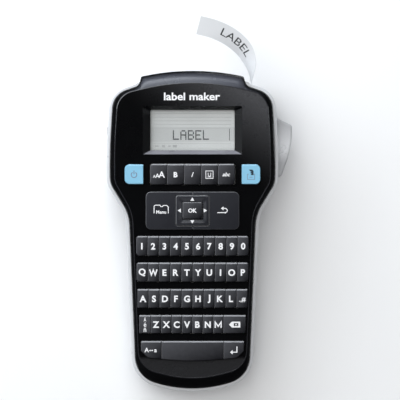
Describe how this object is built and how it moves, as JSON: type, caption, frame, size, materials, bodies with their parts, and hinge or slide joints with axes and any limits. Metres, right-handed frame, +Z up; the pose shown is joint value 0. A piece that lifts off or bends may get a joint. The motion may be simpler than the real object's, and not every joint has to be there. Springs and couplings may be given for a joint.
{
  "type": "label maker",
  "caption": "Handheld label maker with a keyboard face, a display window, a wide head that holds a tape cassette, a side lever that cuts the label and a battery door in the handle.",
  "frame": {"origin": "on the flat rear face of the head, on the centre line, in the strip between the cassette door and the top end", "axes": "+Z is up, away from the table the machine lies on; +Y runs from the tail of the handle to the head, along the table; +X is to the right, seen from the keyboard side. The keyboard face leans 6 degrees, its head end higher"},
  "size_m": [0.1179, 0.2393, 0.0505],
  "materials": {
    "cover_black": "gloss",
    "shell_silver": "satin silver",
    "lever_silver": "satin silver",
    "key_charcoal": "satin",
    "key_blue": "gloss",
    "window_clear": "polished",
    "display_glass": "gloss",
    "silicone": "matte",
    "board": "satin",
    "cell_label": "gloss",
    "spring_steel": "bright",
    "pressed_steel": "zinc plated",
    "motor_steel": "nickel plated",
    "brass_gear": "machined",
    "white_acetal": "satin",
    "roller_rubber": "matte",
    "heat_sink": "satin",
    "cassette_grey": "satin",
    "label_white": "satin",
    "blade_steel": "ground",
    "screw_steel": "black oxide"
  },
  "bodies": {
    "casing": {"front_cover": "cover_black", "rear_housing": "shell_silver", "display_window": "window_clear", "display_panel": "display_glass", "keypad_mat": "silicone", "circuit_board": "board", "power_socket": "cover_black", "batteries": "cell_label", "battery_contacts": "spring_steel", "chassis_plate": "pressed_steel", "drive_motor": "motor_steel", "print_head": "heat_sink", "cassette_case": "cassette_grey", "tape_feed": "label_white", "cutter_pivot_pin": "spring_steel", "cutter_spring": "spring_steel", "case_screws": "screw_steel"},
    "cassette_door": {"cassette_door": "shell_silver"},
    "battery_door": {"battery_door": "shell_silver", "rubber_feet": "roller_rubber"},
    "cutter_lever": {"cutter_lever": "lever_silver"},
    "cutter_slide": {"cutter_carriage": "white_acetal", "cutter_blade": "blade_steel"},
    "motor_pinion": {"motor_pinion": "brass_gear"},
    "first_reduction_gear": {"first_reduction_gear": "white_acetal"},
    "second_reduction_gear": {"second_reduction_gear": "white_acetal"},
    "platen": {"platen_shaft": "spring_steel", "platen_roller": "roller_rubber", "platen_gear": "white_acetal"},
    "ribbon_spindle": {"ribbon_spindle": "white_acetal"},
    "tape_roll": {"tape_roll": "label_white"},
    "label_strip": {"label_strip": "label_white"},
    "key_1": {"key_1": "key_charcoal"},
    "key_2": {"key_2": "key_charcoal"},
    "key_3": {"key_3": "key_charcoal"},
    "key_4": {"key_4": "key_charcoal"},
    "key_5": {"key_5": "key_charcoal"},
    "key_6": {"key_6": "key_charcoal"},
    "key_7": {"key_7": "key_charcoal"},
    "key_8": {"key_8": "key_charcoal"},
    "key_9": {"key_9": "key_charcoal"},
    "key_0": {"key_0": "key_charcoal"},
    "upper_letter_keys": {"upper_letter_keys": "key_charcoal"},
    "middle_letter_keys": {"middle_letter_keys": "key_charcoal"},
    "lower_letter_keys": {"lower_letter_keys": "key_charcoal"},
    "backspace_key": {"backspace_key": "key_charcoal"},
    "case_key": {"case_key": "key_charcoal"},
    "space_key": {"space_key": "key_charcoal"},
    "enter_key": {"enter_key": "key_charcoal"},
    "text_size_key": {"text_size_key": "key_charcoal"},
    "bold_key": {"bold_key": "key_charcoal"},
    "italic_key": {"italic_key": "key_charcoal"},
    "frame_key": {"frame_key": "key_charcoal"},
    "underline_key": {"underline_key": "key_charcoal"},
    "menu_key": {"menu_key": "key_charcoal"},
    "back_key": {"back_key": "key_charcoal"},
    "arrow_ring": {"arrow_ring": "key_charcoal"},
    "ok_key": {"ok_key": "key_charcoal"},
    "power_key": {"power_key": "key_blue"},
    "print_key": {"print_key": "key_blue"}
  },
  "joints": [
    {"name": "cutter_lever_press", "type": "hinge", "parent": "casing", "child": "cutter_lever", "pos_m": [0.0485, -0.05405, 0.01676], "axis": [0, -0.1045, 0.9945], "range_deg": [0, 8], "stiffness_Nm_per_rad": 1},
    {"name": "cutter_blade_stroke", "type": "slide", "parent": "casing", "child": "cutter_slide", "axis": [-1, 0, 0], "range_m": [0, 0.0045]},
    {"name": "cassette_door_hinge", "type": "hinge", "parent": "casing", "child": "cassette_door", "pos_m": [0, -0.00795, 0.00199], "axis": [1, 0, 0], "range_deg": [0, 100]},
    {"name": "battery_door_slide", "type": "slide", "parent": "casing", "child": "battery_door", "axis": [0, -0.9945, -0.1045], "range_m": [0, 0.0055]},
    {"name": "platen_spin", "type": "hinge", "parent": "casing", "child": "platen", "pos_m": [0.0406, -0.02042, 0.01728], "axis": [0, -0.1045, 0.9945], "continuous": true},
    {"name": "second_gear_spin", "type": "hinge", "parent": "casing", "child": "second_reduction_gear", "pos_m": [0.02951, -0.03433, 0.02889], "axis": [0, -0.1045, 0.9945], "continuous": true},
    {"name": "first_gear_spin", "type": "hinge", "parent": "casing", "child": "first_reduction_gear", "pos_m": [0.02903, -0.04924, 0.02732], "axis": [0, -0.1045, 0.9945], "continuous": true},
    {"name": "motor_pinion_spin", "type": "hinge", "parent": "casing", "child": "motor_pinion", "pos_m": [0.023, -0.06377, 0.0279], "axis": [0, -0.1045, 0.9945], "continuous": true},
    {"name": "ribbon_spindle_spin", "type": "hinge", "parent": "casing", "child": "ribbon_spindle", "pos_m": [0.0126, -0.02747, 0.02257], "axis": [0, -0.1045, 0.9945], "continuous": true},
    {"name": "tape_roll_spin", "type": "hinge", "parent": "casing", "child": "tape_roll", "pos_m": [-0.003, -0.03434, 0.01581], "axis": [0, -0.1045, 0.9945], "continuous": true},
    {"name": "label_pull", "type": "slide", "parent": "casing", "child": "label_strip", "axis": [0, 0.9945, 0.1045], "range_m": [0, 0.008]},
    {"name": "key_1_press", "type": "slide", "parent": "casing", "child": "key_1", "axis": [0, 0.1045, -0.9945], "range_m": [0, 0.001], "stiffness_N_per_m": 300},
    {"name": "key_2_press", "type": "slide", "parent": "casing", "child": "key_2", "axis": [0, 0.1045, -0.9945], "range_m": [0, 0.001], "stiffness_N_per_m": 300},
    {"name": "key_3_press", "type": "slide", "parent": "casing", "child": "key_3", "axis": [0, 0.1045, -0.9945], "range_m": [0, 0.001], "stiffness_N_per_m": 300},
    {"name": "key_4_press", "type": "slide", "parent": "casing", "child": "key_4", "axis": [0, 0.1045, -0.9945], "range_m": [0, 0.001], "stiffness_N_per_m": 300},
    {"name": "key_5_press", "type": "slide", "parent": "casing", "child": "key_5", "axis": [0, 0.1045, -0.9945], "range_m": [0, 0.001], "stiffness_N_per_m": 300},
    {"name": "key_6_press", "type": "slide", "parent": "casing", "child": "key_6", "axis": [0, 0.1045, -0.9945], "range_m": [0, 0.001], "stiffness_N_per_m": 300},
    {"name": "key_7_press", "type": "slide", "parent": "casing", "child": "key_7", "axis": [0, 0.1045, -0.9945], "range_m": [0, 0.001], "stiffness_N_per_m": 300},
    {"name": "key_8_press", "type": "slide", "parent": "casing", "child": "key_8", "axis": [0, 0.1045, -0.9945], "range_m": [0, 0.001], "stiffness_N_per_m": 300},
    {"name": "key_9_press", "type": "slide", "parent": "casing", "child": "key_9", "axis": [0, 0.1045, -0.9945], "range_m": [0, 0.001], "stiffness_N_per_m": 300},
    {"name": "key_0_press", "type": "slide", "parent": "casing", "child": "key_0", "axis": [0, 0.1045, -0.9945], "range_m": [0, 0.001], "stiffness_N_per_m": 300},
    {"name": "upper_letter_keys_press", "type": "slide", "parent": "casing", "child": "upper_letter_keys", "axis": [0, 0.1045, -0.9945], "range_m": [0, 0.001], "stiffness_N_per_m": 1500},
    {"name": "middle_letter_keys_press", "type": "slide", "parent": "casing", "child": "middle_letter_keys", "axis": [0, 0.1045, -0.9945], "range_m": [0, 0.001], "stiffness_N_per_m": 1500},
    {"name": "lower_letter_keys_press", "type": "slide", "parent": "casing", "child": "lower_letter_keys", "axis": [0, 0.1045, -0.9945], "range_m": [0, 0.001], "stiffness_N_per_m": 1500},
    {"name": "backspace_key_press", "type": "slide", "parent": "casing", "child": "backspace_key", "axis": [0, 0.1045, -0.9945], "range_m": [0, 0.001], "stiffness_N_per_m": 300},
    {"name": "case_key_press", "type": "slide", "parent": "casing", "child": "case_key", "axis": [0, 0.1045, -0.9945], "range_m": [0, 0.001], "stiffness_N_per_m": 300},
    {"name": "space_key_press", "type": "slide", "parent": "casing", "child": "space_key", "axis": [0, 0.1045, -0.9945], "range_m": [0, 0.001], "stiffness_N_per_m": 300},
    {"name": "enter_key_press", "type": "slide", "parent": "casing", "child": "enter_key", "axis": [0, 0.1045, -0.9945], "range_m": [0, 0.001], "stiffness_N_per_m": 300},
    {"name": "text_size_key_press", "type": "slide", "parent": "casing", "child": "text_size_key", "axis": [0, 0.1045, -0.9945], "range_m": [0, 0.001], "stiffness_N_per_m": 300},
    {"name": "bold_key_press", "type": "slide", "parent": "casing", "child": "bold_key", "axis": [0, 0.1045, -0.9945], "range_m": [0, 0.001], "stiffness_N_per_m": 300},
    {"name": "italic_key_press", "type": "slide", "parent": "casing", "child": "italic_key", "axis": [0, 0.1045, -0.9945], "range_m": [0, 0.001], "stiffness_N_per_m": 300},
    {"name": "frame_key_press", "type": "slide", "parent": "casing", "child": "frame_key", "axis": [0, 0.1045, -0.9945], "range_m": [0, 0.001], "stiffness_N_per_m": 300},
    {"name": "underline_key_press", "type": "slide", "parent": "casing", "child": "underline_key", "axis": [0, 0.1045, -0.9945], "range_m": [0, 0.001], "stiffness_N_per_m": 300},
    {"name": "menu_key_press", "type": "slide", "parent": "casing", "child": "menu_key", "axis": [0, 0.1045, -0.9945], "range_m": [0, 0.0008], "stiffness_N_per_m": 300},
    {"name": "back_key_press", "type": "slide", "parent": "casing", "child": "back_key", "axis": [0, 0.1045, -0.9945], "range_m": [0, 0.0008], "stiffness_N_per_m": 300},
    {"name": "arrow_ring_press", "type": "slide", "parent": "casing", "child": "arrow_ring", "axis": [0, 0.1045, -0.9945], "range_m": [0, 0.001], "stiffness_N_per_m": 300},
    {"name": "ok_key_press", "type": "slide", "parent": "casing", "child": "ok_key", "axis": [0, 0.1045, -0.9945], "range_m": [0, 0.001], "stiffness_N_per_m": 300},
    {"name": "power_key_press", "type": "slide", "parent": "casing", "child": "power_key", "axis": [0, 0.1045, -0.9945], "range_m": [0, 0.001], "stiffness_N_per_m": 300},
    {"name": "print_key_press", "type": "slide", "parent": "casing", "child": "print_key", "axis": [0, 0.1045, -0.9945], "range_m": [0, 0.001], "stiffness_N_per_m": 300}
  ],
  "couplings": [
    {"joint": "second_gear_spin", "follows": "platen_spin", "ratio": -0.55556},
    {"joint": "first_gear_spin", "follows": "platen_spin", "ratio": 1.4286},
    {"joint": "motor_pinion_spin", "follows": "platen_spin", "ratio": -4.7619},
    {"joint": "ribbon_spindle_spin", "follows": "platen_spin", "ratio": 0.83333},
    {"joint": "cutter_blade_stroke", "follows": "cutter_lever_press", "m_per_rad": 0.0322}
  ]
}
